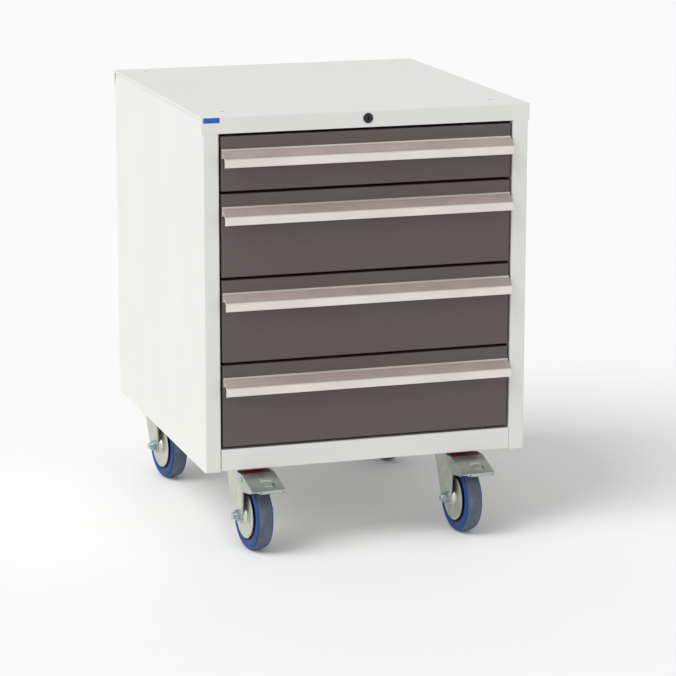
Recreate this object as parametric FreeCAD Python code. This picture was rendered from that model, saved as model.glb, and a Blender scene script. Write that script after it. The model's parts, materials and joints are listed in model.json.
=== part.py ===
"""Mobile steel tool cabinet with four locking drawers on swivel castors.

Millimetres, +Z up. The origin is on the floor, midway between the sides and 300 mm behind the front face,
which is the middle of the footprint. +X is to the right of someone who faces the drawers, +Y to the back.
"""
import FreeCAD, Part
import math
import os

# Overall sizes
width = 600.0
depth = 650.0
body_height = 630.0
castor_height = 155.0
sheet = 1.5
base_sheet = 2.0

# Carcass
front_y = -300.0
back_y = front_y + depth
body_z = castor_height - sheet
top_z = body_z + body_height
lid_overhang = 2.0
lid_flange = 30.0
lid_gap = 0.3
ear_depth = 10.0
post_width = 29.0
post_return = 22.0
panel_flange = 20.0
bend = 1.5
rail_height = 40.0
rail_foot = 2.0
rail_return = 20.0
side_x = width / 2 - lid_overhang
opening_x = side_x - post_width
panel_back_y = back_y - sheet
lid_hole_r = 4.0
lid_hole_x = 247.5
lid_hole_front = 58.0
lid_hole_back = 605.0

# Drawers, from the top: height of each front
front_heights = [95.5, 146.5, 146.5, 146.5]
front_gap = 5.0
front_half = 265.5
front_depth = 20.0
front_sheet = 1.2
front_round = 3.0
front_mitre = 7.0
tray_half = 252.0
tray_back = 610.0
tray_sheet = 1.2
tray_below_top = 14.0
tray_above_foot = 7.0
tray_lip = 8.0

# Drawer pulls
pull_half = 264.5
pull_drop = 22.0
pull_reach = 22.0
pull_slope_drop = 15.5
pull_lip = 14.0
pull_leg = 16.0
pull_wall = 2.0

# Telescopic slides: half the height of each member, where its web and its tips are in x, and its two ends in y
slide_above_foot = 38.0
slide_sheet = 1.5
slide_wall_x = 268.0
drawer_member = {"half": 13.5, "web": tray_half, "tip": 260.5, "ends": (front_y + 24.0, front_y + 600.0)}
middle_member = {"half": 17.7, "web": 264.0, "tip": 255.0, "ends": (front_y + 28.0, front_y + 600.0)}
cabinet_member = {"half": 21.0, "web": slide_wall_x, "tip": 256.5, "ends": (front_y + 26.0, front_y + 606.0)}
upright_width = 30.0
upright_front = front_y + 32.0
upright_back = front_y + 566.0
upright_slot_pitch = 25

# Lock
lock_z = top_z - 14.0
lock_r = 9.0
housing_r = 7.8
barrel_r = 5.5
fit = 0.06
rod_r = 4.0
crank_y = front_y + 626.0
crank_sheet = 4.0
crank_r = 8.0
crank_pin_r = 2.5
crank_eye_r = 4.5
crank_rest = math.radians(45.0)
bar_x = (-22.0, 6.0)
bar_y = front_y + 634.0
bar_sheet = 2.0
catch_lip = 9.0
catch_gap = 5.2
catch_below_rim = 16.0
catch_reach = 16.0
finger_x = (-18.0, 2.0)
finger_y = front_y + 616.5
guide_heights = [body_z + 200.0, body_z + 495.0]
guide_tall = 25.0

# Castors
castor_inset = 68.0
castor_shift = -9.0
front_castor_x = 197.0
rear_castor_x = 223.0
front_castor_y = front_y + castor_inset
rear_castor_y = back_y - castor_inset
# Each castor's swivel axis in x and y, and whether its plate lies across the cabinet
castor_places = {
    "front_left": (castor_shift - front_castor_x, front_castor_y, True),
    "front_right": (castor_shift + front_castor_x, front_castor_y, True),
    "rear_left": (castor_shift - rear_castor_x, rear_castor_y, False),
    "rear_right": (castor_shift + rear_castor_x, rear_castor_y, False),
}
castor_turn = {"front_left": 5.2, "front_right": 3.8, "rear_left": 7.0, "rear_right": 5.0}
wheel_r = 64.5
trail = 38.0
plate_long = 105.0
plate_short = 80.0
plate_sheet = 4.0
bolt_long = 80.0
bolt_short = 60.0
bolt_r = 4.0
fork_half = 28.0
fork_sheet = 3.0
crown_z = 146.5
crown_front = -33.0
fork_rear = 44.0
fork_roll = 20.0
cup_r = 30.0
kingpin_r = 6.0
kingpin_foot = crown_z - fork_sheet - 6.0
axle_r = 6.0
sleeve_r = 8.0
guard_r = 42.5
pivot_y = -58.0
pivot_z = 135.0
pivot_r = 3.0
ear_r = 6.0
pedal_half = 31.0
pedal_sheet = 2.5
pedal_back = (-36.0, 145.0)
pedal_bend = (-61.0, 145.0)
pedal_lip = (-115.0, 126.0)
curl_r = 4.0
shoe_gap = 5.2

V = FreeCAD.Vector
up = V(0, 0, 1)
right = V(1, 0, 0)
back = V(0, 1, 0)


# Helpers

def export(name, *solids):
    """Write one node; several separate solids go in as a group."""
    shape = solids[0] if len(solids) == 1 else Part.makeCompound(list(solids))
    shape.exportStep("parts/" + name + ".step")


def box(x0, x1, y0, y1, z0, z1):
    return Part.makeBox(x1 - x0, y1 - y0, z1 - z0, V(x0, y0, z0))


def rod(radius, start, length, direction=up):
    return Part.makeCylinder(radius, length, start, direction)


def hexagon(across_flats, start, height, direction):
    """A hexagonal prism that stands on start."""
    radius = across_flats / math.sqrt(3.0)
    corners = [V(radius * math.cos(math.radians(60 * k)), radius * math.sin(math.radians(60 * k)), 0)
               for k in range(7)]
    prism = Part.Face(Part.makePolygon(corners)).extrude(V(0, 0, height))
    prism.Placement = FreeCAD.Placement(start, FreeCAD.Rotation(up, direction))
    return prism


def place(u, v, plane, level):
    """Map a flat point to space: plane names the two axes that u and v run along."""
    if plane == "xy":
        return V(u, v, level)
    if plane == "xz":
        return V(u, level, v)
    return V(level, u, v)


def rounded_face(points, radii, plane="xy", level=0.0):
    """A flat face with straight sides and an arc of the given radius at each corner, or none for 0."""
    edges = []
    ends = []
    count = len(points)
    for k, (u, v) in enumerate(points):
        a = points[k - 1]
        b = points[(k + 1) % count]
        d1 = V(u - a[0], v - a[1], 0).normalize()
        d2 = V(b[0] - u, b[1] - v, 0).normalize()
        if not radii[k]:
            ends.append(((u, v), (u, v)))
            continue
        half_turn = d1.getAngle(d2) / 2
        reach = radii[k] * math.tan(half_turn)
        inward = (d2 - d1).normalize() * (radii[k] / math.cos(half_turn) - radii[k])
        t1 = (u - d1.x * reach, v - d1.y * reach)
        t2 = (u + d2.x * reach, v + d2.y * reach)
        middle = (u + inward.x, v + inward.y)
        edges.append(Part.Arc(*[place(*p, plane, level) for p in (t1, middle, t2)]).toShape())
        ends.append((t1, t2))
    for k in range(count):
        start = place(*ends[k - 1][1], plane, level)
        stop = place(*ends[k][0], plane, level)
        if (stop - start).Length > 1e-6:
            edges.append(Part.makeLine(start, stop))
    return Part.Face(Part.Wire(Part.__sortEdges__(edges)))


def face(points, plane="xy", level=0.0):
    """A flat face with sharp corners."""
    return rounded_face(points, [0] * len(points), plane, level)


def bent_sheet(points, thickness, inner_radius, plane="xy", level=0.0):
    """The section of a bent sheet: the path's own side is one skin, the other lies to its left.

    A bend towards the left has the inner radius on the left skin; any other has it on the path.
    """
    normals = []
    for a, b in zip(points, points[1:]):
        normals.append(V(a[1] - b[1], b[0] - a[0], 0).normalize())
    skin = []
    path_radii = []
    skin_radii = []
    for k, (u, v) in enumerate(points):
        n1 = normals[max(k - 1, 0)]
        n2 = normals[min(k, len(normals) - 1)]
        shift = (n1 + n2) * (thickness / (1 + n1.dot(n2)))
        skin.append((u + shift.x, v + shift.y))
        inner = 0 < k < len(points) - 1
        to_left = n1.cross(n2).z > 0
        path_radii.append((inner_radius + (thickness if to_left else 0)) if inner else 0)
        skin_radii.append((inner_radius + (0 if to_left else thickness)) if inner else 0)
    return rounded_face(points + skin[::-1], path_radii + skin_radii[::-1], plane, level)


def mirrored(shape):
    """The same shape on the other side of the cabinet's middle."""
    return shape.mirror(V(0, 0, 0), right)


def profile(start, *steps):
    """A flat face for turning: a step is the next point, or a pair (middle, end) for an arc."""
    edges = []
    here = V(*start, 0)
    for step in steps:
        if isinstance(step[0], tuple):
            middle = V(*step[0], 0)
            there = V(*step[1], 0)
            edges.append(Part.Arc(here, middle, there).toShape())
        else:
            there = V(*step, 0)
            edges.append(Part.makeLine(here, there))
        here = there
    edges.append(Part.makeLine(here, V(*start, 0)))
    return Part.Face(Part.Wire(edges))


def turn(flat, centre, direction):
    """Turn a flat face of (distance along the axis, radius) into a solid of revolution."""
    solid = flat.revolve(V(0, 0, 0), right, 360)
    solid.Placement = FreeCAD.Placement(centre, FreeCAD.Rotation(right, direction))
    return solid


def round_edges(solid, radius, wanted):
    """Round the straight edges whose middle point is wanted."""
    edges = [e for e in solid.Edges if wanted(e.CenterOfMass)]
    return solid.makeFillet(radius, edges)


# Carcass

def side_panel():
    """The left side: a C-shaped sheet whose front flange is the post."""
    inner_y = front_y + sheet + lid_gap
    flange_z = top_z - lid_flange
    path = [(panel_flange - side_x, panel_back_y), (-side_x, panel_back_y), (-side_x, front_y),
            (-opening_x, front_y), (-opening_x, front_y + post_return)]
    lower = bent_sheet(path, sheet, bend).extrude(up * (flange_z - body_z))
    lower.translate(up * body_z)
    crest = bent_sheet(path[:2] + [(-side_x, inner_y)], sheet, bend).extrude(up * (lid_flange - sheet))
    crest.translate(up * flange_z)
    foot = box(-side_x + sheet / 2, panel_flange - side_x, front_y + post_return + 2, panel_back_y - sheet - 3,
               body_z, body_z + sheet)
    return lower.fuse([crest, foot]).removeSplitter()


def lid_ear(y, inward):
    """The tapered return that closes a corner of the lid, seen from the side."""
    y_edge = y + inward * ear_depth
    arc = Part.Arc(V(0, y_edge, top_z), V(0, y + inward * ear_depth * 0.6, top_z - lid_flange * 0.45),
                   V(0, y, top_z - lid_flange + 1)).toShape()
    down = Part.makeLine(V(0, y, top_z - lid_flange + 1), V(0, y, top_z))
    across = Part.makeLine(V(0, y, top_z), V(0, y_edge, top_z))
    flat = Part.Face(Part.Wire([arc, down, across]))
    flat.translate(right * (width / 2 - sheet))
    return flat.extrude(right * sheet)


def top_panel():
    """The lid: top sheet, front flange above the drawers, back flange and thin side hems."""
    flange_z = top_z - lid_flange
    path = [(back_y, top_z - lid_flange * 0.6), (back_y, top_z), (front_y, top_z), (front_y, flange_z)]
    lid = bent_sheet(path, sheet, 0.5, "yz", -width / 2).extrude(right * width)
    lip = box(-opening_x, opening_x, front_y + sheet / 2, front_y + 12, flange_z, flange_z + sheet)
    hem = box(width / 2 - sheet, width / 2, front_y + 2, back_y - 2, top_z - 4, top_z - sheet / 2)
    ears = [lid_ear(front_y, 1), lid_ear(back_y, -1)]
    sides = [hem] + ears
    lid = lid.fuse([lip] + sides + [mirrored(s) for s in sides]).removeSplitter()
    for x in (-lid_hole_x, lid_hole_x):
        for y in (front_y + lid_hole_front, front_y + lid_hole_back):
            lid = lid.cut(rod(lid_hole_r, V(x, y, top_z - 5), 10))
    lid = lid.cut(rod(housing_r + 0.1, V(0, front_y - 5, lock_z), 10, back))
    return round_edges(lid, 0.6, lambda m: abs(abs(m.x) - width / 2) < 0.01 and abs(m.z - top_z) < 0.01)


def base_panel():
    """The floor pan that carries the castors, turned up at the front and back."""
    y0 = front_y + sheet
    y1 = panel_back_y - 2 * sheet
    path = [(y0, castor_height + 34), (y0, castor_height), (y1, castor_height), (y1, castor_height + 20)]
    half = side_x - sheet - 0.3
    pan = bent_sheet(path, base_sheet, 1.0, "yz", -half).extrude(right * 2 * half)
    corner = box(opening_x - sheet - 0.5, half + 1, y0 - 1, front_y + post_return + 1, castor_height - 1,
                 castor_height + 40)
    pan = pan.cut(corner).cut(mirrored(corner))
    for place_of in castor_places.values():
        for bolt in plate_bolts(place_of):
            pan = pan.cut(rod(bolt_r + 0.3, bolt - up * 5, 12))
    return pan


def back_panel():
    y1 = panel_back_y - sheet
    return box(-side_x + sheet + bend, side_x - sheet - bend, y1 - sheet, y1, castor_height, top_z - sheet)


def bottom_rail():
    """The rail under the lowest drawer, between the posts."""
    z1 = body_z + rail_height
    path = [(front_y + rail_return, z1 - 10), (front_y + rail_return, z1), (front_y, z1),
            (front_y, body_z + rail_foot)]
    half = opening_x - lid_gap
    return bent_sheet(path, sheet, 0.8, "yz", -half).extrude(right * 2 * half)


def rail_uprights():
    """Four perforated channels inside the side panels, which carry the slides."""
    z0 = castor_height + base_sheet
    height = top_z - lid_flange - z0
    uprights = []
    for y0 in (upright_front, upright_back):
        y1 = y0 + upright_width
        outer = side_x - sheet
        path = [(outer, y1), (slide_wall_x, y1), (slide_wall_x, y0), (outer, y0)]
        channel = bent_sheet(path, sheet, 1.0).extrude(up * height)
        channel.translate(up * z0)
        middle = (y0 + y1) / 2
        slots = [box(slide_wall_x - 1, slide_wall_x + 3, middle - 4, middle + 4, z, z + 5)
                 for z in range(int(z0) + 20, int(z0 + height) - 15, upright_slot_pitch)]
        channel = channel.cut(Part.makeCompound(slots))
        uprights += [channel, mirrored(channel)]
    return uprights


# Lock

def lock_parts():
    """Returns housing, nut, bar guides, barrel, drive rod and the lifting bar."""
    axis = V(0, front_y, lock_z)
    bezel = [(-1.6, lock_r - 0.8), (-0.8, lock_r), (0, lock_r), (0, housing_r)]
    housing = turn(profile((-1.6, barrel_r + fit), *bezel, (18, housing_r), (18, barrel_r + fit)), axis, back)
    nut = hexagon(20, axis + back * sheet, 4, back).cut(rod(housing_r + 0.05, axis, 12, back))
    barrel = rod(barrel_r, axis - back * 2.0, 22, back)
    barrel = barrel.cut(box(-0.9, 0.9, front_y - 3, front_y + 8, lock_z - 3.6, lock_z + 3.6))
    pin = V(-crank_r * math.cos(crank_rest), crank_y, lock_z - crank_r * math.sin(crank_rest))
    centre = V(0, crank_y, lock_z)
    drive = rod(rod_r, axis + back * 20, crank_y - front_y - 20, back)
    arm = rod(crank_eye_r, centre, crank_sheet, back)
    arm = arm.fuse([rod(crank_eye_r, pin, crank_sheet, back), crank_web(centre, pin)])
    drive = drive.fuse([arm, rod(crank_pin_r, pin, 11, back)]).removeSplitter()
    hanger = box(-14, 14, front_y + 603, front_y + 606, lock_z - 12, top_z - sheet)
    hanger = hanger.cut(rod(rod_r + fit, V(0, front_y + 600, lock_z), 10, back))
    guides = [bar_guide(z) for z in guide_heights]
    return housing, nut, guides + [hanger], barrel, drive, lock_bar(pin)


def crank_web(centre, pin):
    """The straight flank between the crank's two eyes."""
    across = V(pin.z - centre.z, 0, centre.x - pin.x).normalize() * crank_eye_r
    corners = [centre + across, pin + across, pin - across, centre - across]
    return Part.Face(Part.makePolygon(corners + corners[:1])).extrude(back * crank_sheet)


def bar_guide(z):
    """A bracket on the back panel with a channel that the lock bar slides in."""
    x0, x1 = bar_x
    y1 = panel_back_y - 2 * sheet
    z1 = z + guide_tall
    bracket = box(x0 - 5, x1 + 5, bar_y - 2, y1, z, z1)
    channel = box(x0 - 0.3, x1 + 0.3, bar_y - 0.3, bar_y + bar_sheet + 0.3, z - 1, z1 + 1)
    window = box(x0 + 5, x1 - 5, bar_y - 3, bar_y, z - 1, z1 + 1)
    relief = box(x0 + 2, x1 - 2, bar_y + 1, y1 - 2, z - 1, z1 + 1)
    return bracket.cut(channel.fuse([window, relief]))


def lock_bar(pin):
    """The flat bar at the back: a slot for the crank pin and one hooked finger per drawer."""
    x0, x1 = bar_x
    bar = box(x0, x1, bar_y, bar_y + bar_sheet, body_z + 125, pin.z + 5.6)
    slot = box(x0 + 9.5, x1 - 7.5, bar_y - 1, bar_y + bar_sheet + 1, pin.z - 3.05, pin.z + 3.05)
    bar = bar.cut(slot)
    for z in catch_heights():
        top = z - catch_lip - catch_gap
        shelf = box(*finger_x, finger_y, bar_y + bar_sheet / 2, top - 12, top - 10)
        hook = box(*finger_x, finger_y, finger_y + bar_sheet, top - 12, top)
        bar = bar.fuse([shelf, hook])
    return bar.removeSplitter()


# Drawers

def front_spans():
    """The lowest and highest point of each drawer front, from the top."""
    spans = []
    top = top_z - lid_flange - front_gap
    for height in front_heights:
        spans.append((top - height, top))
        top -= height + front_gap
    return spans


def catch_heights():
    return [z1 - tray_below_top - catch_below_rim for _, z1 in front_spans()]


def drawer_front(z0, z1):
    """A folded pan with rounded upright edges, open at the back."""
    pan = box(-front_half, front_half, front_y, front_y + front_depth, z0, z1)
    pan = round_edges(pan, front_round, lambda m: abs(m.y - front_y) < 0.01 and abs(m.x) > front_half - 0.01)
    pan = pan.makeFillet(1.4, [e for e in pan.Edges if e.BoundBox.YMax < front_y + front_round + 0.01
                               and e.BoundBox.ZLength < 0.01])
    inside = front_half - front_sheet
    hollow = box(-inside, inside, front_y + front_sheet, front_y + front_depth + 1,
                 z0 + front_sheet, z1 - front_sheet)
    hollow = round_edges(hollow, front_round - front_sheet,
                         lambda m: abs(m.y - front_y - front_sheet) < 0.01 and abs(m.x) > inside - 0.01)
    pan = pan.cut(hollow)
    mitre = face([(inside, front_y + front_round), (inside, front_y + front_depth + 1),
                  (inside - front_mitre, front_y + front_depth + 1)], "xy", z0 - 1).extrude(up * (z1 - z0 + 2))
    return pan.cut(mitre).cut(mirrored(mitre))


def drawer_tray(z0, z1):
    """The steel tray behind the front, with a side rim and the catch that the lock bar hooks."""
    low = z0 + tray_above_foot
    high = z1 - tray_below_top
    y0 = front_y + front_depth
    y1 = front_y + tray_back
    tray = box(-tray_half, tray_half, y0, y1, low, high)
    tray = round_edges(tray, 2.0, lambda m: abs(m.z - low) < 0.01)
    inside = box(tray_sheet - tray_half, tray_half - tray_sheet, y0 + tray_sheet, y1 - tray_sheet,
                 low + tray_sheet, high + 1)
    rim = box(tray_half - tray_sheet, tray_half + tray_lip, y0 + 4, y1 - 4, high - tray_sheet, high)
    catch_z = high - catch_below_rim
    catch_x = (finger_x[0] - 10, finger_x[1] + 10)
    catch_y = y1 + catch_reach
    shelf = box(*catch_x, y1 - tray_sheet, catch_y, catch_z - sheet, catch_z)
    lip = box(*catch_x, catch_y - sheet, catch_y, catch_z - catch_lip, catch_z)
    return tray.cut(inside).fuse([rim, mirrored(rim), shelf, lip]).removeSplitter()


def pull(z1):
    """The full-width extruded drawer pull: leg on the front, sloping label channel and finger lip."""
    top = z1 - pull_drop
    out = front_y - pull_reach
    slope = math.atan2(pull_slope_drop, pull_reach)
    along = (-math.cos(slope), -math.sin(slope))
    normal = (-math.sin(slope), math.cos(slope))
    knee = (out, top - pull_slope_drop)
    brow = (front_y - 2.6, top - 1.8)

    def on_slope(run, rise):
        return (brow[0] + along[0] * run + normal[0] * rise, brow[1] + along[1] * run + normal[1] * rise)

    length = (brow[0] - out) / math.cos(slope)
    ridge = [(front_y, top), (front_y - 1.2, top), on_slope(-0.6, 0.5), on_slope(0.9, 0.5)]
    channel = [on_slope(0.9, -0.9), on_slope(2.0, -0.9), on_slope(2.0, -0.3), on_slope(length - 3.0, -0.3),
               on_slope(length - 3.0, -0.9), on_slope(length - 1.9, -0.9), on_slope(length - 1.9, 0.0)]
    lip_z = knee[1] - pull_lip
    lip = [(out, knee[1] - 0.6), (out, lip_z), (out + pull_wall, lip_z), (out + pull_wall, knee[1] - 2.2)]
    leg_y = front_y - pull_wall
    leg = [(leg_y, top - 4.4), (leg_y, top - pull_leg), (front_y, top - pull_leg)]
    radii = [0] * len(ridge + channel) + [0.9, 0.7, 0.7, 1.6] + [1.2, 0.6, 0]
    section = rounded_face(ridge + channel + lip + leg, radii, "yz", -pull_half)
    return section.extrude(right * 2 * pull_half)


def slide_pair(member, z):
    """The C-shaped rail of one slide member at height z, on both sides; its tips point away from its web."""
    y0, y1 = member["ends"]
    web, tip = member["web"], member["tip"]
    rise = member["half"] if tip > web else -member["half"]
    path = [(tip, z + rise), (web, z + rise), (web, z - rise), (tip, z - rise)]
    rail = bent_sheet(path, slide_sheet, 0.8, "xz", y0).extrude(back * (y1 - y0))
    return [rail, mirrored(rail)]


def make_drawers():
    """Exports every drawer and returns the cabinet members of its slides."""
    fixed = []
    for number, (z0, z1) in enumerate(front_spans(), 1):
        z = z0 + slide_above_foot
        export("drawer_front_%d" % number, drawer_front(z0, z1))
        export("drawer_tray_%d" % number, drawer_tray(z0, z1))
        export("drawer_pull_%d" % number, pull(z1))
        export("drawer_slides_%d" % number, *slide_pair(drawer_member, z))
        export("middle_slides_%d" % number, *slide_pair(middle_member, z))
        fixed += slide_pair(cabinet_member, z)
    return fixed


# Castors, in their own frame: swivel axis at x = y = 0, floor at z = 0, wheel towards -Y

def plate_bolts(spot):
    """The four bolt centres of one castor plate, at the plate's upper face."""
    x, y, across = spot
    dx, dy = (bolt_long, bolt_short) if across else (bolt_short, bolt_long)
    return [V(x + i * dx / 2, y + j * dy / 2, castor_height) for i in (-1, 1) for j in (-1, 1)]


def castor_plate(spot):
    """The top plate with the pressed cup of the swivel bearing."""
    x, y, across = spot
    dx, dy = (plate_long, plate_short) if across else (plate_short, plate_long)
    z0 = castor_height - plate_sheet
    plate = box(x - dx / 2, x + dx / 2, y - dy / 2, y + dy / 2, z0, castor_height)
    plate = round_edges(plate, 8.0, lambda m: abs(m.z - z0 - plate_sheet / 2) < 0.01)
    drop = z0 - crown_z - 0.4
    cup = turn(profile((0, kingpin_r), (0, cup_r - 5), (drop, cup_r), (drop + 1, cup_r), (drop + 1, kingpin_r)),
               V(x, y, z0 - drop), up)
    plate = plate.fuse(cup).cut(rod(kingpin_r, V(x, y, z0 - 20), 40))
    for bolt in plate_bolts(spot):
        plate = plate.cut(rod(bolt_r + 0.3, bolt - up * 6, 12))
    return plate.removeSplitter()


def plate_bolt(spot):
    head = hexagon(13, spot - up * (plate_sheet + 3.6), 3.6, up)
    return head.fuse(rod(bolt_r, spot - up * (plate_sheet + 1), plate_sheet + 11))


def plate_nut(spot):
    return hexagon(13, spot + up * base_sheet, 6.5, up).cut(rod(bolt_r + 0.05, spot, 20))


def kingpin(spot):
    """The rivet that the fork turns on."""
    x, y, _ = spot
    dome = profile((0, 0), (0, 7.5), ((1.2, 9.8), (3.5, 11)), (5.7, 11), (5.7, 0))
    head = turn(dome, V(x, y, kingpin_foot), up)
    return head.fuse(rod(kingpin_r, V(x, y, kingpin_foot + 3), castor_height - 0.5 - kingpin_foot - 3))


def fork(braked):
    """A pressed fork: flat crown, and two legs whose rear edges are rolled towards each other."""
    reach = 90
    plan = [(fork_half, -reach), (fork_half, fork_rear), (-fork_half, fork_rear), (-fork_half, -reach)]
    wall = bent_sheet(plan, fork_sheet, fork_roll, "xy", crown_z).extrude(V(0, -40, -97))
    slot = box(-19.5, 19.5, -120, 60, 0, crown_z - fork_sheet)
    rear = [(-28, 50), (-5, 66), (17, 84), (37, 106), (fork_rear + 3, 128), (fork_rear + 3, crown_z)]
    if braked:
        front = [(crown_front, crown_z), (crown_front, pivot_z + ear_r), (pivot_y - ear_r, pivot_z + ear_r),
                 (pivot_y + 1, 113), (-50, 60), (-49, 50)]
        side = rounded_face(rear + front, [10, 14, 20, 20, 10, 0] + [0, 2, ear_r - 0.1, 14, 20, 9], "yz", -40)
    else:
        front = [(-44, crown_z), (-49, 112), (-50, 60), (-49, 50)]
        side = rounded_face(rear + front, [10, 14, 20, 20, 10, 0] + [10, 20, 20, 9], "yz", -40)
    legs = wall.cut(slot).common(side.extrude(right * 80))
    crown_plan = plan[1:3] + [(-fork_half, crown_front), (fork_half, crown_front)]
    corner = fork_roll + fork_sheet
    crown = rounded_face(crown_plan, [corner, corner, 0, 0], "xy", crown_z - fork_sheet)
    crown = crown.extrude(up * fork_sheet)
    solid = legs.fuse(crown.common(side.extrude(right * 80)))
    solid = solid.cut(rod(kingpin_r + fit, V(0, 0, 100), 60))
    solid = solid.cut(rod(axle_r + 0.1, V(-60, -trail, wheel_r), 120, right))
    if braked:
        solid = solid.cut(rod(pivot_r + fit, V(-60, pivot_y, pivot_z), 120, right))
    return solid.removeSplitter()


def tyre():
    """The crowned grey tread band."""
    edge_r = wheel_r - 2.3
    band = profile((-12.5, 55), (-12.5, edge_r), ((0, wheel_r), (12.5, edge_r)), (12.5, 55))
    return turn(band, V(0, -trail, wheel_r), right)


def wheel_centre():
    """The coloured wheel body: shoulders beside the tread, a moulded ring, web and hub."""
    edge_r = wheel_r - 2.3
    side = [(15.5, wheel_r - 9.9), (15.0, wheel_r - 10.4), (15.5, wheel_r - 10.9), (15.5, 51.5), (13, 45.0),
            (6, 44.0), (4, 40), (4, 19), (8, 15), (17.2, 15), (21, 12.3), (21, sleeve_r + fit)]
    other_side = [(-along, radius) for along, radius in side[::-1]]
    shoulder = [((14.6, wheel_r - 3.6), (15.5, wheel_r - 6.5))]
    other_shoulder = [(-15.5, wheel_r - 6.5), ((-14.6, wheel_r - 3.6), (-12.5, edge_r))]
    seat = [(-12.5, 55), (12.5, 55)]
    return turn(profile((12.5, edge_r), *shoulder, *side, *other_side, *other_shoulder, *seat),
                V(0, -trail, wheel_r), right)


def thread_guards():
    """The dished discs between the legs and the wheel."""
    bore = sleeve_r + 0.3
    rim_r = guard_r - 2.5
    outer = [(24.8, bore), (24.8, 12), (18.6, 17), (17.6, rim_r - 1.5), (17.0, rim_r), (17.8, rim_r + 1.5),
             (17.6, guard_r)]
    inner = [(16.4, guard_r), (15.8, rim_r), (16.4, rim_r - 1.9), (17.4, 16.4), (23.6, 11.4), (23.6, bore)]
    disc = turn(profile(*outer, *inner), V(0, -trail, wheel_r), right)
    return [disc, mirrored(disc)]


def axle():
    """The wheel bolt with its sleeve, washer and nut."""
    y = -trail
    z = wheel_r
    head = hexagon(18, V(fork_half, y, z), 7.5, right)
    bolt = rod(axle_r, V(-41.5, y, z), 41.5 + fork_half + 1, right).fuse(head)
    sleeve = rod(sleeve_r, V(fork_sheet - fork_half + 0.05, y, z), 2 * (fork_half - fork_sheet) - 0.1, right)
    sleeve = sleeve.cut(rod(axle_r + 0.05, V(-60, y, z), 120, right))
    washer = rod(11, V(-fork_half - 1.5, y, z), 1.5, right).cut(rod(axle_r + 0.1, V(-60, y, z), 120, right))
    nut = hexagon(18, V(-fork_half - 1.5 - 7, y, z), 7, right).cut(rod(axle_r + 0.05, V(-60, y, z), 120, right))
    return [bolt, sleeve, washer, nut]


def on_pedal(run, rise):
    """A point on the pedal's sloping skin: run down the slope from the bend, rise above the skin."""
    dy = pedal_lip[0] - pedal_bend[0]
    dz = pedal_lip[1] - pedal_bend[1]
    length = math.hypot(dy, dz)
    return (pedal_bend[0] + (dy * run + dz * rise) / length, pedal_bend[1] + (dz * run - dy * rise) / length)


def above_tread(y, gap):
    """A point over the top of the tread, gap above it."""
    return (y, wheel_r + math.sqrt(wheel_r ** 2 - (y + trail) ** 2) + gap)


def brake_pedal():
    """The pressed pedal plate with cheeks, curled lip, raised tab, slot, brake shoe and its pivot pin."""
    length = math.hypot(pedal_lip[0] - pedal_bend[0], pedal_lip[1] - pedal_bend[1])
    skin = bent_sheet([pedal_lip, pedal_bend, pedal_back], -pedal_sheet, 7.0, "yz", -pedal_half)
    plate = skin.extrude(right * 2 * pedal_half)
    outline = [(pedal_back[0], pedal_back[1] - 1), (pedal_bend[0], pedal_bend[1] - 1), on_pedal(length - 3, -1),
               (-103, 119.5), (-62, 114), (-46, 126)]
    cheek = rounded_face(outline, [0, 6, 0, 3, 8, 12], "yz", pedal_half - pedal_sheet)
    cheek = cheek.extrude(right * pedal_sheet)
    curl_y, curl_z = on_pedal(length - 2.5, -curl_r)
    curl = rod(curl_r, V(-14, curl_y, curl_z), 14 + pedal_half, right)
    curl = curl.cut(rod(curl_r - 1.8, V(-20, curl_y, curl_z), 80, right))
    shoe = [on_pedal(14, -1), on_pedal(27, -1), above_tread(-86, shoe_gap), above_tread(-75, shoe_gap)]
    shoe = face(shoe, "yz", -9)
    tab = face([on_pedal(18, 0), on_pedal(20, 3), on_pedal(29, 3.4), on_pedal(31, 0)], "yz", -7)
    step = face([on_pedal(30, 0), on_pedal(31, 1.4), on_pedal(45, 1.4), on_pedal(46, 0)], "yz", -3)
    slot = face([on_pedal(32, -6), on_pedal(32, 6), on_pedal(46, 6), on_pedal(46, -6)], "yz", 13)
    raised = [tab.extrude(right * 21), step.extrude(right * 13)]
    pedal = plate.fuse([cheek, mirrored(cheek), curl, shoe.extrude(right * 18)] + raised)
    pedal = pedal.cut(slot.extrude(right * 3)).removeSplitter()
    hole = rod(pivot_r, V(-60, pivot_y, pivot_z), 120, right)
    pin = rod(pivot_r, V(-pedal_half, pivot_y, pivot_z), 2 * pedal_half, right)
    pin = pin.fuse([rod(5.0, V(x, pivot_y, pivot_z), 1.4, right) for x in (-pedal_half - 1.4, pedal_half)])
    return [pedal.cut(hole), pin]


def set_castor(shapes, spot, degrees):
    """Turn shapes about the swivel axis and carry them to their place under the cabinet."""
    placed = []
    for shape in shapes:
        copy = shape.copy()
        copy.rotate(V(0, 0, 0), up, degrees)
        copy.translate(V(spot[0], spot[1], 0))
        placed.append(copy)
    return placed


def make_castors():
    """Exports the four castors; those at the front have a brake pedal."""
    for corner, spot in castor_places.items():
        braked = corner.startswith("front")
        parts = {"castor_fork": [fork(braked)], "tyre": [tyre()], "wheel_centre": [wheel_centre()],
                 "thread_guards": thread_guards(), "axle": axle()}
        if braked:
            parts["brake_pedal"] = brake_pedal()
        for name, shapes in parts.items():
            export(name + "_" + corner, *set_castor(shapes, spot, castor_turn[corner]))


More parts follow.
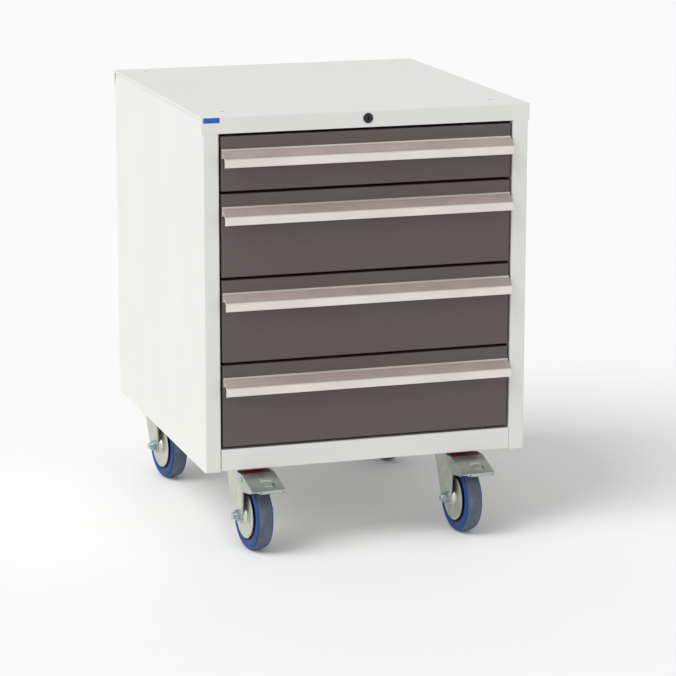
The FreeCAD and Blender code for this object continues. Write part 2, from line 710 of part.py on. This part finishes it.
def main():
    os.makedirs("parts", exist_ok=True)
    left = side_panel()
    export("side_panel_left", left)
    export("side_panel_right", mirrored(left))
    export("top_panel", top_panel())
    export("base_panel", base_panel())
    export("back_panel", back_panel())
    export("bottom_rail", bottom_rail())
    export("rail_uprights", *rail_uprights())
    housing, nut, guides, barrel, drive, bar = lock_parts()
    export("lock_housing", housing)
    export("lock_nut", nut)
    export("lock_bar_guides", *guides)
    export("lock_barrel", barrel)
    export("lock_drive_rod", drive)
    export("lock_bar", bar)
    export("cabinet_slides", *make_drawers())
    spots = castor_places.values()
    bolts = [bolt for spot in spots for bolt in plate_bolts(spot)]
    export("castor_plates", *[castor_plate(spot) for spot in spots])
    export("castor_kingpins", *[kingpin(spot) for spot in spots])
    export("castor_bolts", *[plate_bolt(bolt) for bolt in bolts])
    export("castor_nuts", *[plate_nut(bolt) for bolt in bolts])
    make_castors()


main()
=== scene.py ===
"""The looks of a mobile steel drawer cabinet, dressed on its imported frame.

Metres, +Z up, the drawers face -Y.  Paints, platings and plastics come first, then the wheels, axles, pedals,
labels and strips as pieces of their own, then the room, the light and the camera.
"""
import json
import math

import bmesh
import bpy
import numpy as np
from mathutils import Matrix, Vector


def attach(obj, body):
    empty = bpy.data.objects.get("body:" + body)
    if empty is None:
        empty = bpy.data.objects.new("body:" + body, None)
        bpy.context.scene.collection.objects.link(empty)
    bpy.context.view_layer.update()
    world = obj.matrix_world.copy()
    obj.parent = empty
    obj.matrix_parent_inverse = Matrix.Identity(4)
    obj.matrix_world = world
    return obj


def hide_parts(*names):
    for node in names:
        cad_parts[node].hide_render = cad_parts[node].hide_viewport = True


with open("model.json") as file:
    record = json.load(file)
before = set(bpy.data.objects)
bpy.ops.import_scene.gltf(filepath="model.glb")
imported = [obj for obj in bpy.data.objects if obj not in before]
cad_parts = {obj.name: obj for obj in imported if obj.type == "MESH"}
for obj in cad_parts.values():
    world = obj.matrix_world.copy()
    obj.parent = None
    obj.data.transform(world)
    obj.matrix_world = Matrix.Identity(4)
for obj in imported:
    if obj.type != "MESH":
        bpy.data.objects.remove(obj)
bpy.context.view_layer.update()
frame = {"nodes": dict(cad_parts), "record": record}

MM = 0.001

# Castors: swivel axis in x and y in millimetres, and the turn about it in degrees
CASTORS = {"front_left": (-206, -232, 5.2), "front_right": (188, -232, 3.8),
           "rear_left": (-232, 282, 7.0), "rear_right": (214, 282, 5.0)}
BRAKED = ("front_left", "front_right")
TRAIL = 38.0
WHEEL_R = 64.5
AXLE_R = 6.0
HEX_FLATS = 18
THREAD_PITCH = 1.75
LIP_CENTRE = (27.5, -109.8, 121.9)

# Front: the plane of the carcass, and the top, reach and drop of each drawer's pull
FRONT_Y = -300.0
PULL_TOPS = (726.5, 626.0, 474.5, 323.0)
PULL_REACH = 22.0
PULL_SLOPE_DROP = 15.5
SHARP = math.radians(32)


# ---------------------------------------------------------------------------------------------------------------
# Shader maths

class Signal:
    """A number, colour or vector on its way through a material, so that node maths reads as arithmetic."""

    def __init__(self, finish, socket):
        self.finish = finish
        self.socket = socket

    def math(self, operation, *values):
        return self.finish.node("ShaderNodeMath", {"operation": operation}, dict(enumerate(values)))

    def __add__(self, other):
        return self.math("ADD", self, other)

    __radd__ = __add__

    def __sub__(self, other):
        return self.math("SUBTRACT", self, other)

    def __rsub__(self, other):
        return self.math("SUBTRACT", other, self)

    def __mul__(self, other):
        return self.math("MULTIPLY", self, other)

    __rmul__ = __mul__

    def __truediv__(self, other):
        return self.math("DIVIDE", self, other)

    def above(self, edge, softness):
        """0 below edge, 1 above edge + softness, smooth between them."""
        return self.finish.node("ShaderNodeMapRange", {"interpolation_type": "SMOOTHSTEP"},
                                {"Value": self, "From Min": edge, "From Max": edge + softness})

    def clipped(self):
        return self.finish.node("ShaderNodeClamp", {}, {"Value": self})


class Finish:
    """A material or a world, and the nodes that make it."""

    def __init__(self, owner):
        self.owner = owner
        owner.use_nodes = True
        self.tree = owner.node_tree
        self.tree.nodes.clear()

    def node(self, kind, settings, values, output=0):
        """Adds a node with its settings, then its sockets' values or links, and gives back one of its outputs."""
        made = self.tree.nodes.new(kind)
        for key, value in settings.items():
            setattr(made, key, value)
        for key, value in values.items():
            if isinstance(value, Signal):
                self.tree.links.new(value.socket, made.inputs[key])
            else:
                made.inputs[key].default_value = value
        return Signal(self, made.outputs[output])

    def place(self):
        """The point on the piece, in metres."""
        return self.node("ShaderNodeTexCoord", {}, {}, "Object")

    def stretched(self, scale):
        """The point stretched along each axis."""
        return self.node("ShaderNodeMapping", {}, {"Vector": self.place(), "Scale": scale})

    def noise(self, scale, detail=3.0, rough=0.55, at=None):
        """Cloudy noise about 0.5; scale is in clouds per metre."""
        return self.node("ShaderNodeTexNoise", {}, {"Vector": at or self.place(), "Scale": scale, "Detail": detail,
                                                    "Roughness": rough})

    def cells(self, scale):
        """Distance to the nearest of many scattered points, scale of them per metre."""
        return self.node("ShaderNodeTexVoronoi", {}, {"Vector": self.place(), "Scale": scale})

    def axis(self, number, at):
        return self.node("ShaderNodeSeparateXYZ", {}, {"Vector": at}, number)

    def mix(self, share, first, second):
        """A colour that goes from first to second as share goes from 0 to 1."""
        return self.node("ShaderNodeMix", {"data_type": "RGBA"}, {0: share, 6: first, 7: second}, 2)

    def soft_normal(self, radius):
        """The surface's direction with its edges rounded off within radius."""
        return self.node("ShaderNodeBevel", {"samples": 6}, {"Radius": radius})

    def edges(self, radius):
        """1 on sharp edges and corners, 0 on open faces."""
        true = self.node("ShaderNodeNewGeometry", {}, {}, "Normal")
        alike = self.node("ShaderNodeVectorMath", {"operation": "DOT_PRODUCT"},
                          {0: self.soft_normal(radius), 1: true}, "Value")
        return ((1 - alike) * 6.0).clipped()

    def bump(self, height, depth, normal=None):
        """The surface's direction after raising it by height times depth metres."""
        values = {"Height": height, "Distance": depth, "Strength": 1.0}
        if normal:
            values["Normal"] = normal
        return self.node("ShaderNodeBump", {}, values)

    def done(self, colour, rough, normal, metal=0.0, **uniform):
        """Closes the material with one surface shader; uniform values are the same all over the surface."""
        values = {"Base Color": colour, "Roughness": rough, "Metallic": metal, "Normal": normal}
        values.update({key.replace("_", " "): value for key, value in uniform.items()})
        shader = self.node("ShaderNodeBsdfPrincipled", {}, values)
        return self.closed(shader, "ShaderNodeOutputMaterial")

    def closed(self, shader, kind):
        """Links the shader to an output node of that kind and gives back the material or world."""
        output = self.tree.nodes.new(kind)
        self.tree.links.new(shader.socket, output.inputs["Surface"])
        return self.owner


def srgb(red, green, blue):
    """A display colour of 0 to 255 as linear light."""
    parts = [part / 12.92 if part <= 0.04045 else ((part + 0.055) / 1.055) ** 2.4
             for part in (red / 255, green / 255, blue / 255)]
    return (*parts, 1.0)


def material(name):
    """An empty material, ready for its nodes."""
    return Finish(bpy.data.materials.new(name))


def scaled(colour, factor):
    return (*[min(part * factor, 1.0) for part in colour[:3]], 1.0)


# ---------------------------------------------------------------------------------------------------------------
# Finishes

def powder_coat(name, colour, rough, grain, cloud):
    """Baked powder coat on sheet steel: orange-peel skin, faint clouding, thin and rubbed on sharp edges."""
    f = material(name)
    soft = f.soft_normal(0.5 * MM)
    edge = f.edges(0.7 * MM)
    clouds = f.noise(7, 4)
    rub = edge * f.noise(90, 4).above(0.42, 0.3)
    base = f.mix(clouds.above(0.25, 0.5), scaled(colour, 1 - cloud), scaled(colour, 1 + cloud))
    base = f.mix(edge * 0.5 + rub * 0.3, base, scaled(colour, 0.7))
    peel = f.noise(950, 2, 0.4) + f.noise(2600, 2, 0.5) * 0.4
    dents = f.noise(14, 1)
    normal = f.bump(peel, grain * MM, f.bump(dents, 0.12 * MM, soft))
    return f.done(base, rough + (f.noise(30, 5) - 0.5) * 0.14 - rub * 0.08, normal, Specular_IOR_Level=0.42)


def drawn_aluminium(name, colour, rough, along=(1, 0, 0)):
    """Satin anodised extrusion: fine die lines along its length and a slightly uneven film."""
    f = material(name)
    squeeze = [4.0 if a else 1800.0 for a in along]
    lines = f.noise(1.0, 4, 0.6, f.stretched(squeeze))
    film = f.noise(9, 3)
    edge = f.edges(0.5 * MM)
    base = f.mix(film.above(0.3, 0.4), scaled(colour, 0.93), scaled(colour, 1.04))
    base = f.mix(lines.above(0.35, 0.3) * 0.25, base, scaled(colour, 0.84))
    # Lighter on edges and corners: a painted highlight.
    base = f.mix(edge * 0.6, base, scaled(colour, 1.22))
    normal = f.bump(lines, 0.012 * MM, f.soft_normal(0.35 * MM))
    return f.done(base, rough + (lines - 0.5) * 0.16 + (film - 0.5) * 0.1, normal, 0.45)


def zinc(name, colour, rough, spangle=0.1, press=0.05):
    """Zinc plating on pressed steel: mottled film, drawing marks, and edges made brighter, partly rub wear and
    partly a painted highlight.
    """
    f = material(name)
    mottle = f.noise(60, 5, 0.6)
    fine = f.cells(1500)
    streak = f.noise(1.0, 4, 0.6, f.stretched((260, 260, 24)))
    edge = f.edges(0.7 * MM)
    base = f.mix(mottle.above(0.3, 0.4), scaled(colour, 1 - spangle), scaled(colour, 1 + spangle))
    base = f.mix(streak.above(0.45, 0.25) * 0.3, base, scaled(colour, 0.8))
    # Lighter on edges and corners: partly rub wear, partly a painted highlight.
    base = f.mix(edge * 0.7, base, scaled(colour, 1.35))
    normal = f.bump(streak + fine * 0.1, press * MM, f.soft_normal(0.35 * MM))
    return f.done(base, rough + (mottle - 0.5) * 0.3 + (streak - 0.5) * 0.15, normal, 1.0)


def rubber(name, colour):
    """Elastic tread: matt, dusty on the running face, with fine mould grain and picked-up specks."""
    f = material(name)
    dust = f.noise(45, 5, 0.65)
    specks = f.cells(420).above(0.10, 0.05)
    scuffs = f.noise(1.0, 4, 0.6, f.stretched((30, 220, 220)))
    base = f.mix(dust.above(0.35, 0.4), colour, scaled(colour, 1.5))
    base = f.mix(scuffs.above(0.55, 0.15) * 0.35, base, scaled(colour, 0.7))
    base = f.mix((1 - specks) * 0.25, base, scaled(colour, 2.6))
    normal = f.bump(f.noise(1300, 3) + dust * 2.0, 0.05 * MM, f.soft_normal(0.6 * MM))
    return f.done(base, 0.62 + (dust - 0.5) * 0.3, normal, Specular_IOR_Level=0.35)


def moulded(name, colour, rough, grain=0.02):
    """Moulded plastic: even colour with faint flow marks, fine mould texture and paler rubbed edges."""
    f = material(name)
    flow = f.noise(24, 4, 0.5)
    fine = f.noise(1700, 3)
    edge = f.edges(0.6 * MM)
    base = f.mix(flow.above(0.3, 0.4), scaled(colour, 0.94), scaled(colour, 1.06))
    base = f.mix(edge * 0.3, base, scaled(colour, 1.4))
    normal = f.bump(fine, grain * MM, f.bump(flow, 0.08 * MM, f.soft_normal(0.5 * MM)))
    return f.done(base, rough + (f.noise(140, 4) - 0.5) * 0.18, normal, Specular_IOR_Level=0.4)


GREY = srgb(222, 223, 217)
TAUPE = srgb(90, 80, 77)
finishes = {
    "grey_paint": powder_coat("light grey powder coat", GREY, 0.42, 0.010, 0.012),
    "tray_paint": powder_coat("drawer tray powder coat", srgb(205, 206, 200), 0.46, 0.012, 0.02),
    "dark_paint": powder_coat("dark taupe powder coat", TAUPE, 0.48, 0.014, 0.05),
    "pull_aluminium": drawn_aluminium("satin anodised aluminium", srgb(230, 222, 218), 0.36),
    "slide_zinc": zinc("rolled slide steel", srgb(190, 192, 190), 0.34),
    "castor_zinc": zinc("pressed castor steel", srgb(205, 206, 196), 0.42),
    # The pedal steel is the castor steel made darker: painted shade on the brake pedals.
    "shaded_pedal_zinc": zinc("pressed pedal steel darkened as painted shade", srgb(180, 188, 184), 0.36, 0.1, 0.02),
    "fastener_zinc": zinc("bright zinc fasteners", srgb(186, 198, 206), 0.24, 0.06, 0.006),
    "tread_rubber": rubber("grey elastic tread", srgb(80, 88, 102)),
    "wheel_blue": moulded("blue wheel body", srgb(0, 60, 126), 0.5),
    # The core's dark brown is painted shade: the recess between thread guard and blue band.
    "shaded_core": moulded("dark core painted as recess shade", srgb(70, 60, 54), 0.5),
    "lock_black": moulded("black lock", srgb(26, 26, 27), 0.36),
    "label_blue": moulded("plain blue label", srgb(36, 88, 184), 0.3, 0.004),
    # The label strip's grey is the pull aluminium darkened: a painted reflection, the slope's dimmer tone.
    "stop_red": moulded("red stop strip", srgb(140, 30, 32), 0.42),
    "slope_shade_grey": moulded("label strip", srgb(166, 152, 148), 0.42, 0.006),
}


def dress_nodes():
    """Every node of the frame gets the finish of its material slot; the brake pedals a darker copy of the castor
    steel, painted shade.
    """
    for part in frame["record"]["subparts"]:
        mesh = frame["nodes"][part["node"]].data
        mesh.materials.clear()
        kind = "shaded_pedal_zinc" if part["node"].startswith("brake_pedal") else part["material_slot"]
        mesh.materials.append(finishes[kind])


dress_nodes()


# ---------------------------------------------------------------------------------------------------------------
# Surfaces


def grid_faces(rows, columns):
    """Quads of a grid of points whose last row and last column join the first ones."""
    row, column = np.meshgrid(np.arange(rows), np.arange(columns), indexing="ij")
    next_row = (row + 1) % rows
    next_column = (column + 1) % columns
    quads = np.stack([row * columns + column, row * columns + next_column,
                      next_row * columns + next_column, next_row * columns + column], axis=-1)
    return quads.reshape(-1, 4)


def add_piece(name, shells, finish, slot, body, *replaced):
    """Makes one piece of closed shells, each a grid of points in millimetres, and puts it on a body."""
    counts = np.cumsum([0] + [shell.shape[0] * shell.shape[1] for shell in shells])
    points = np.concatenate([shell.reshape(-1, 3) for shell in shells]) * MM
    faces = np.concatenate([outward(grid_faces(*shell.shape[:2]), shell.reshape(-1, 3)) + start
                            for shell, start in zip(shells, counts)])
    mesh = bpy.data.meshes.new(name)
    mesh.from_pydata(points.tolist(), [], faces.tolist())
    mesh.polygons.foreach_set("use_smooth", np.ones(len(faces), bool))
    mesh.set_sharp_from_angle(angle=SHARP)
    mesh.materials.append(finishes[finish])
    piece = bpy.data.objects.new(name, mesh)
    bpy.context.scene.collection.objects.link(piece)
    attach(piece, body)
    if replaced:
        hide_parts(*replaced)


def outward(quads, points):
    """The quads turned so that their closed shell holds a positive volume."""
    a, b, c, d = (points[quads[:, k]] for k in range(4))
    volume = np.einsum("ij,ij->i", a, np.cross(b, c)).sum() + np.einsum("ij,ij->i", a, np.cross(c, d)).sum()
    return quads if volume > 0 else quads[:, ::-1]


def rounded(corners, radius, steps=4):
    """A closed outline whose corners are short parabolas that start and end radius away from the corner."""
    corner = np.array(corners, float)
    before = np.roll(corner, 1, axis=0) - corner
    after = np.roll(corner, -1, axis=0) - corner
    reach = np.minimum(radius, 0.45 * np.minimum(np.linalg.norm(before, axis=1), np.linalg.norm(after, axis=1)))
    start = corner + before / np.linalg.norm(before, axis=1)[:, None] * reach[:, None]
    end = corner + after / np.linalg.norm(after, axis=1)[:, None] * reach[:, None]
    t = np.linspace(0, 1, steps + 1)[None, :, None]
    curve = (1 - t) ** 2 * start[:, None] + 2 * t * (1 - t) * corner[:, None] + t ** 2 * end[:, None]
    return curve.reshape(-1, 2)


def spun(outline, turns, shape=None):
    """A closed outline of (along, radius) carried round the X axis; shape may change the radius at each point."""
    angle = np.linspace(0, 2 * np.pi, turns, endpoint=False)[:, None]
    along = np.broadcast_to(outline[None, :, 0], (turns, len(outline)))
    radius = np.broadcast_to(outline[None, :, 1], (turns, len(outline)))
    if shape:
        radius = shape(along, radius, angle)
    return np.stack([along, radius * np.cos(angle), radius * np.sin(angle)], axis=-1)


def slab(low, high, radius):
    """A block between two corners: its rounded plan outline, raised from a bottom to a top ring and closed."""
    (x0, y0, z0), (x1, y1, z1) = low, high
    plan = rounded([(x0, y0), (x1, y0), (x1, y1), (x0, y1)], radius)
    middle = np.array([(x0 + x1) / 2, (y0 + y1) / 2])
    rings = [(0.001, z0), (1, z0), (1, z1), (0.001, z1)]
    return np.stack([np.column_stack([middle + (plan - middle) * size, np.full(len(plan), z)])
                     for size, z in rings])


def at_castor(corner, points):
    """Points given from a castor's swivel axis, turned and moved to its place under the cabinet."""
    x, y, degrees = CASTORS[corner]
    turn = math.radians(degrees)
    px, py, pz = np.moveaxis(points, -1, 0)
    return np.stack([x + px * math.cos(turn) - py * math.sin(turn),
                     y + px * math.sin(turn) + py * math.cos(turn), pz], axis=-1)


def at_wheel(corner, points):
    """Points given from the wheel's centre, moved to that wheel."""
    return at_castor(corner, points + np.array([0, -TRAIL, WHEEL_R]))


# ---------------------------------------------------------------------------------------------------------------
# Wheels and axles

def tread_radius(along, radius, angle):
    """The running face lies 0.15 mm low, but for a joint line round its middle and small round gate marks.

    The line and the marks are bell curves of the distance to them; the higher of the two counts at each point.
    """
    line = 0.15 * np.exp(-(along / 0.5) ** 2)
    marks = np.zeros_like(radius)
    for at, turn in ((-4.5, -0.25), (4.0, -0.62), (-4.5, 1.85), (4.0, 3.7)):
        across = (along - at) ** 2 + (WHEEL_R * (angle - turn)) ** 2
        marks = marks + 0.14 * np.exp(-(across / 0.9) ** 2)
    running = radius > WHEEL_R - 2.4
    return radius + np.where(running, -0.15 + np.maximum(line, marks), 0)


def make_tyre(corner):
    """A shallow arc 25 mm wide that is 2.3 mm lower at its edges, closed by a straight seat."""
    along = np.linspace(12.5, -12.5, 51)
    sag = 2.3 * (along / 12.5) ** 2
    arc = np.column_stack([along, WHEEL_R - sag])
    outline = np.concatenate([arc, [(-12.5, 58), (-12.5, 55), (12.5, 55), (12.5, 58)]])
    shell = at_wheel(corner, spun(outline, 288, tread_radius))
    add_piece("tread_" + corner, [shell], "tread_rubber", "tread_rubber", "wheel_" + corner, "tyre_" + corner)


def make_wheel(corner):
    """The coloured shoulders with a moulded bead each side, and the core of web and hub inside them, dark brown as
    painted shade in the recess between guard and band.
    """
    half = [(12.5, 62.2), (14.4, 61.0), (15.5, 58.2), (15.5, 55.8), (16.3, 54.9), (15.5, 54.0), (15.4, 51.4),
            (14.0, 47.2), (8, 47)]
    band = rounded(half + [(-along, radius) for along, radius in half[::-1]], 0.8)
    half = [(13.8, 46.9), (12.6, 44.6), (6, 44.0), (4, 40), (4, 19), (8, 15), (17.2, 15), (21, 12.3), (21, 8.2)]
    core = rounded(half + [(-along, radius) for along, radius in half[::-1]], 0.7)
    body = "wheel_" + corner
    add_piece("blue_band_" + corner, [at_wheel(corner, spun(band, 192))], "wheel_blue", "wheel_blue", body,
              "wheel_centre_" + corner)
    add_piece("shaded_core_" + corner, [at_wheel(corner, spun(core, 144))], "shaded_core", "wheel_blue", body)


def hexagonal(along, radius, angle):
    """A hexagon's side is half its flat width over the cosine of the angle from the flat's middle; it cuts the
    spun outline down wherever that is wider."""
    side = HEX_FLATS / 2 / np.cos((angle + np.pi / 6) % (np.pi / 3) - np.pi / 6)
    return np.where(radius > AXLE_R + 1, np.minimum(radius, side), radius)


def threaded(along, radius, angle):
    """A screw thread on the last stretch of the bolt: a zigzag of place less turns round the axis."""
    turn = along / THREAD_PITCH - angle / (2 * np.pi)
    groove = np.abs(turn % 1 - 0.5) * 0.9
    return np.where((along < -28) & (along > -41) & (radius > 5.5), radius - groove, radius)


def make_axle(corner):
    """Chamfered hexagon head and nut, washers, bearing sleeve and the bolt with its thread."""
    bolt_side = np.column_stack([np.linspace(-41, -28, 105), np.full(105, AXLE_R)])
    tip = [(-41.5, 0.01), (-41.5, 4.9), (-41.05, 5.4)]
    bolt = np.concatenate([tip, bolt_side, [(29.4, AXLE_R), (29.4, 0.01)]])
    nut = rounded([(-35.6, 6.1), (-36.5, 7.2), (-36.5, 8.9), (-35.5, 10.4), (-30.5, 10.4), (-29.5, 8.9),
                   (-29.5, 6.1)], 0.2)
    head = rounded([(28, 6.1), (28, 9.0), (29, 10.4), (34.8, 10.4), (36.3, 8.6), (36.3, 0.05), (29, 0.05)], 0.2)
    washer = rounded([(-28.1, 6.1), (-28.1, 11), (-29.4, 11), (-29.4, 6.1)], 0.25)
    sleeve = rounded([(-24.9, 6.05), (-24.9, 7.95), (24.9, 7.95), (24.9, 6.05)], 0.2)
    shells = [spun(bolt, 48, threaded), spun(nut, 72, hexagonal), spun(head, 72, hexagonal),
              spun(washer, 48), spun(sleeve, 48)]
    add_piece("axle_bolt_" + corner, [at_wheel(corner, shell) for shell in shells], "fastener_zinc",
              "fastener_zinc", "castor_" + corner, "axle_" + corner)


def make_pedal(corner):
    """The pedal plate with its edges rounded, the red strip on its flat and a black plug in its curled lip's open
    end, painted shade inside the tube.
    """
    node = frame["nodes"]["brake_pedal_" + corner]
    mesh = node.data.copy()
    mesh.transform(node.matrix_world)
    whole = bmesh.new()
    whole.from_mesh(mesh)
    bmesh.ops.remove_doubles(whole, verts=whole.verts, dist=0.01 * MM)
    whole.to_mesh(mesh)
    whole.free()
    pedal = bpy.data.objects.new("pressed_pedal_" + corner, mesh)
    bpy.context.scene.collection.objects.link(pedal)
    edge = pedal.modifiers.new("rounded edges", "BEVEL")
    edge.width = 0.5 * MM
    edge.segments = 3
    edge.limit_method = "ANGLE"
    edge.angle_limit = math.radians(40)
    mesh.materials.clear()
    mesh.materials.append(finishes["shaded_pedal_zinc"])
    body = "brake_" + corner
    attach(pedal, body)
    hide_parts("brake_pedal_" + corner)
    strip = slab((-26, -60, 144.9), (26, -38, 145.5), 2.0)
    add_piece("red_strip_" + corner, [at_castor(corner, strip)], "stop_red", "castor_zinc", body)
    # A black plug in the curl's open end: painted shade inside the tube.
    plug = spun(rounded([(0, 0.05), (0, 2.4), (4.9, 2.4), (4.9, 0.05)], 0.4), 32)
    lip_x, lip_y, lip_z = LIP_CENTRE
    mouth = np.stack([lip_x + plug[..., 1], lip_y - plug[..., 0], lip_z + plug[..., 2]], axis=-1)
    add_piece("lip_shade_plug_" + corner, [at_castor(corner, mouth)], "lock_black", "castor_zinc", body)


for place in CASTORS:
    make_tyre(place)
    make_wheel(place)
    make_axle(place)
for place in BRAKED:
    make_pedal(place)


# ---------------------------------------------------------------------------------------------------------------
# Labels

def make_label():
    """A plain blue plate with rounded corners at the left of the lid's front; it lies flat against the sheet."""
    flat = slab((-296.5, 772.5, -0.30), (-267.5, 781.5, 0.05), 1.2)
    shell = np.stack([flat[..., 0], FRONT_Y + flat[..., 2] - 0.02, flat[..., 1]], axis=-1)
    add_piece("blue_label", [shell], "label_blue", "grey_paint", "cabinet")


def make_strips():
    """A label strip under a clear cover on each pull's slope, 0.5 mm thick, between the ridge and the lip; its
    grey is the pull aluminium darkened, a painted reflection of the dimmer overhead on the upward slope.
    """
    slope = math.atan2(PULL_SLOPE_DROP, PULL_REACH)
    for number, height in enumerate(PULL_TOPS, 1):
        flat = slab((-264.4, 2.1, -0.25), (264.4, 20.6, 0.25), 0.3)
        run, rise = flat[..., 1], flat[..., 2]
        y = FRONT_Y - 2.6 - run * math.cos(slope) - rise * math.sin(slope)
        z = height - 1.8 - run * math.sin(slope) + rise * math.cos(slope)
        shell = np.stack([flat[..., 0], y, z], axis=-1)
        add_piece("label_strip_%d" % number, [shell], "slope_shade_grey", "pull_aluminium", "drawer_%d" % number)


make_label()
make_strips()


# ---------------------------------------------------------------------------------------------------------------
# The room

def make_floor():
    side = 60.0
    mesh = bpy.data.meshes.new("floor")
    corners = [(-side, -side, 0), (side, -side, 0), (side, side, 0), (-side, side, 0)]
    mesh.from_pydata(corners, [], [(0, 1, 2, 3)])
    floor = bpy.data.objects.new("floor", mesh)
    bpy.context.scene.collection.objects.link(floor)
    f = material("pale floor")
    tone = f.mix(f.noise(1.5, 3), (0.93, 0.93, 0.93, 1), (0.95, 0.95, 0.95, 1))
    mesh.materials.append(f.done(tone, 0.9, f.bump(f.noise(200, 2), 0.02 * MM), Specular_IOR_Level=0.1))


def make_world():
    """An even pale sky, dimmer overhead, so that upward faces of bare metal stay greyer than upright ones."""
    world = bpy.data.worlds.new("studio")
    bpy.context.scene.world = world
    f = Finish(world)
    height = f.axis(2, f.node("ShaderNodeTexCoord", {}, {}, "Generated"))
    tone = f.mix(height.above(0.15, 0.75), (0.98, 0.98, 0.98, 1), (0.50, 0.50, 0.50, 1))
    light = f.node("ShaderNodeBackground", {}, {"Color": tone, "Strength": 0.92})
    f.closed(light, "ShaderNodeOutputWorld")


def aim(thing, place, target):
    thing.location = place
    thing.rotation_euler = (Vector(target) - Vector(place)).to_track_quat("-Z", "Y").to_euler()


def make_sun():
    """One very soft distant light from the upper left."""
    data = bpy.data.lights.new("sun", "SUN")
    data.energy = 1.75
    data.angle = math.radians(40)
    light = bpy.data.objects.new("sun", data)
    bpy.context.scene.collection.objects.link(light)
    aim(light, (-6.0, -2.0, 7.7), (0, 0, 0))


def make_camera():
    """A long lens to the left of the front, a little above the lid."""
    across, tilt, roll = math.radians(-17.5422), math.radians(12.7404), math.radians(0.0642)
    back = Vector((math.sin(across) * math.cos(tilt), -math.cos(across) * math.cos(tilt), math.sin(tilt)))
    right = Vector((math.cos(across), math.sin(across), 0))
    rise = back.cross(right)
    turned_right = right * math.cos(roll) + rise * math.sin(roll)
    turned_rise = rise * math.cos(roll) - right * math.sin(roll)
    data = bpy.data.cameras.new("camera")
    data.sensor_width = 36.0
    data.lens = 155.21
    data.clip_end = 200.0
    camera = bpy.data.objects.new("camera", data)
    camera.matrix_world = Matrix((
        (turned_right.x, turned_rise.x, back.x, -1.5642),
        (turned_right.y, turned_rise.y, back.y, -5.0756),
        (turned_right.z, turned_rise.z, back.z, 1.5136),
        (0, 0, 0, 1)))
    bpy.context.scene.collection.objects.link(camera)
    bpy.context.scene.camera = camera


def make_room():
    make_floor()
    make_world()
    make_sun()
    make_camera()
    bpy.context.scene.view_settings.view_transform = "Standard"


make_room()
